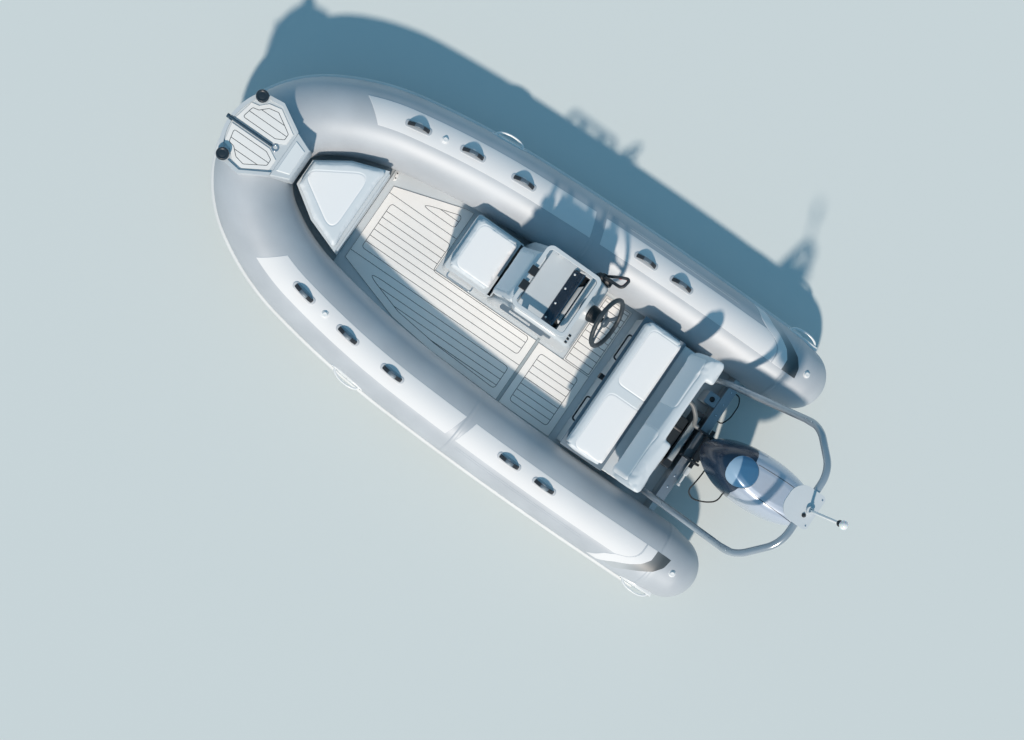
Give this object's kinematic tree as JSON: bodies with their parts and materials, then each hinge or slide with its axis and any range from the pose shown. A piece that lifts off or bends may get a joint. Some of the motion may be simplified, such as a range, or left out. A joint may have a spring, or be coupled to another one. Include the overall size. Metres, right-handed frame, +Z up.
{
  "type": "rigid inflatable boat with outboard",
  "caption": "Rigid inflatable boat afloat: V hull, air tubes, helm console, bow and aft seats, stern arch and outboard engine.",
  "frame": {"origin": "on the waterline, on the centreline, at the transom's aft face", "axes": "+X forward to the bow, +Y to port, +Z up"},
  "size_m": [4.4906, 2.1618, 2.6056],
  "materials": {
    "tube_grey": "matte coated fabric",
    "patch_white": "matte coated fabric",
    "band_dark": "matte coated fabric",
    "rail_white": "satin",
    "handle_dark": "moulded, satin",
    "handle_white": "moulded, satin",
    "hull_aluminium": "powder coat",
    "moulding_grey": "gel coat",
    "deck_foam": "brushed foam with dark caulk lines",
    "vinyl_grey": "coated fabric upholstery",
    "stainless": "polished",
    "arch_tube": "anodised",
    "black_plastic": "moulded",
    "tinted_screen": "smoked",
    "engine_navy": "gloss enamel",
    "engine_grey": "satin enamel",
    "engine_cast": "satin enamel",
    "prop_metal": "satin enamel",
    "hose_grey": "ribbed flexible hose",
    "lamp_white": "diffuser"
  },
  "bodies": {
    "root": {"hull": "hull_aluminium", "transom": "hull_aluminium", "transom_beam": "arch_tube", "deck": "moulding_grey", "deck_pad_forward": "deck_foam", "deck_pad_aft": "deck_foam", "tube_port": "tube_grey", "tube_starboard": "tube_grey", "rub_rails": "rail_white", "wear_patches": "patch_white", "stern_bands": "band_dark", "tube_handles": "handle_dark", "carry_handles": "handle_white", "tube_valves": "handle_white", "bow_step": "moulding_grey", "bow_step_pads": "deck_foam", "bow_bollards": "black_plastic", "bow_bar": "black_plastic", "bow_shackle": "stainless", "bow_locker": "moulding_grey", "console_body": "moulding_grey", "console_hoop": "stainless", "windscreen": "tinted_screen", "console_backrest": "vinyl_grey", "seat_box": "moulding_grey", "helm": "black_plastic", "throttle": "black_plastic", "console_grab": "black_plastic", "bench_fittings": "black_plastic", "well_step": "moulding_grey", "fuel_filler": "moulding_grey", "steering_ram": "stainless", "stern_cable": "black_plastic", "rigging_hose": "hose_grey", "bench_box": "moulding_grey", "backrest_frame": "moulding_grey", "backrest_cushion": "vinyl_grey", "arch": "arch_tube", "arch_plate": "arch_tube", "engine_clamp": "engine_cast", "battery_box": "black_plastic", "stern_eyes": "stainless", "bow_eye": "stainless"},
    "engine_tilting": {"engine_swivel": "engine_cast"},
    "engine_steered": {"engine_leg": "engine_cast", "engine_pan": "engine_grey", "engine_cowl": "engine_navy", "engine_gearcase": "engine_cast", "fuel_hose": "black_plastic"},
    "propeller": {"propeller": "prop_metal"},
    "steering_wheel": {"steering_wheel": "black_plastic"},
    "bow_lid": {"bow_lid": "moulding_grey", "bow_cushion": "vinyl_grey"},
    "anchor_lid": {"anchor_lid": "moulding_grey"},
    "seat_lid": {"seat_lid": "moulding_grey", "seat_cushion": "vinyl_grey"},
    "bench_lid": {"bench_lid": "moulding_grey", "bench_cushion": "vinyl_grey"},
    "light_pole": {"light_pole": "lamp_white"}
  },
  "joints": [
    {"name": "engine_tilt", "type": "hinge", "parent": "root", "child": "engine_tilting", "pos_m": [-0.02, 0, 0.372], "axis": [0, 1, 0], "range_deg": [-4, 20]},
    {"name": "engine_steer", "type": "hinge", "parent": "engine_tilting", "child": "engine_steered", "pos_m": [-0.15, 0, 0.3], "axis": [0, 0, 1], "range_deg": [-30, 30]},
    {"name": "propeller_spin", "type": "hinge", "parent": "engine_steered", "child": "propeller", "pos_m": [-0.5, 0, -0.4083], "axis": [1, 0, 0], "continuous": true},
    {"name": "wheel_turn", "type": "hinge", "parent": "root", "child": "steering_wheel", "pos_m": [1.108, -0.272, 0.985], "axis": [-0.8829, 0, 0.4695], "range_deg": [-545, 545]},
    {"name": "bow_lid_open", "type": "hinge", "parent": "root", "child": "bow_lid", "pos_m": [2.7645, 0, 0.5285], "axis": [0, -1, 0], "range_deg": [0, 90]},
    {"name": "anchor_lid_open", "type": "hinge", "parent": "root", "child": "anchor_lid", "pos_m": [3.349, 0, 0.79], "axis": [0, 1, 0], "range_deg": [0, 80]},
    {"name": "seat_lid_open", "type": "hinge", "parent": "root", "child": "seat_lid", "pos_m": [2.144, -0.2215, 0.5201], "axis": [0, 1, 0], "range_deg": [0, 90]},
    {"name": "bench_lid_open", "type": "hinge", "parent": "root", "child": "bench_lid", "pos_m": [0.51, 0, 0.502], "axis": [0, -1, 0], "range_deg": [0, 40]},
    {"name": "light_pole_fold", "type": "hinge", "parent": "root", "child": "light_pole", "pos_m": [-0.47, 0, 1.5003], "axis": [0, -1, 0], "range_deg": [0, 90]}
  ],
  "couplings": [
    {"joint": "wheel_turn", "follows": "engine_steer", "ratio": -18}
  ]
}
